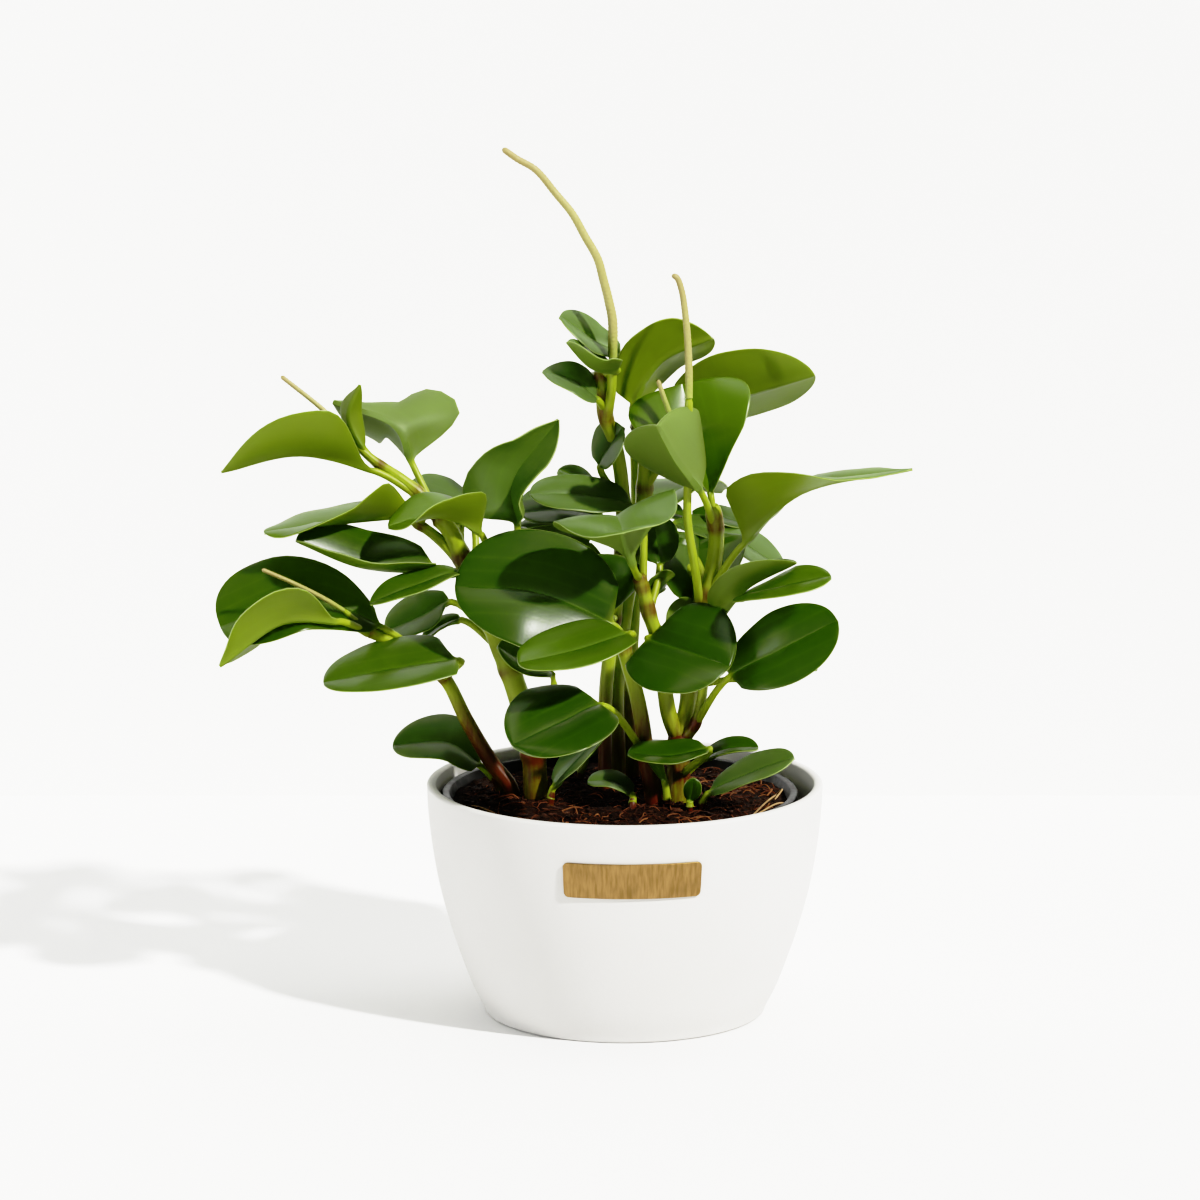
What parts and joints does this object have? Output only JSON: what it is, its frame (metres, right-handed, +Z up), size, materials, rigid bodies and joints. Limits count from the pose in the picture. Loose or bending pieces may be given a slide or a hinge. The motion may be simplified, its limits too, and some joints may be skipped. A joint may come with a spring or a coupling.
{
  "type": "potted baby rubber plant",
  "caption": "Leafy potted houseplant: glossy oval leaves on branching stems and slim flower spikes, in a soil-filled grow pot inside a white bowl-shaped cover pot with a blank brass plate.",
  "frame": {"origin": "middle of the cover pot's foot, on the surface it stands on", "axes": "+Z up, towards the leaves; -Y is the side with the brass plate; +X to the right as seen from that side"},
  "size_m": [0.2751, 0.1603, 0.3525],
  "materials": {
    "white_ceramic": "matte white",
    "brushed_brass": "brushed, slightly aged",
    "black_plastic": "smooth",
    "soil": null,
    "leaf_green": null,
    "young_leaf_green": null,
    "flower_spike_cream": null
  },
  "bodies": {
    "root": {"cover_pot": "white_ceramic", "brass_plate": "brushed_brass", "grow_pot": "black_plastic", "soil": "soil", "stem_low_left": "leaf_green", "stem_left": "leaf_green", "stem_tall": "leaf_green", "stem_middle": "leaf_green", "stem_dark": "leaf_green", "stem_front": "leaf_green", "stem_right": "leaf_green", "shoot_left": "young_leaf_green", "shoot_middle": "young_leaf_green", "shoot_back": "young_leaf_green", "shoot_front": "young_leaf_green", "shoot_right": "young_leaf_green", "shoot_yellow": "young_leaf_green", "shoot_round": "young_leaf_green", "flower_spike_tall": "flower_spike_cream", "flower_spike_right": "flower_spike_cream", "flower_spike_left": "flower_spike_cream", "flower_spike_low": "flower_spike_cream", "flower_spike_young": "flower_spike_cream"}
  },
  "joints": []
}
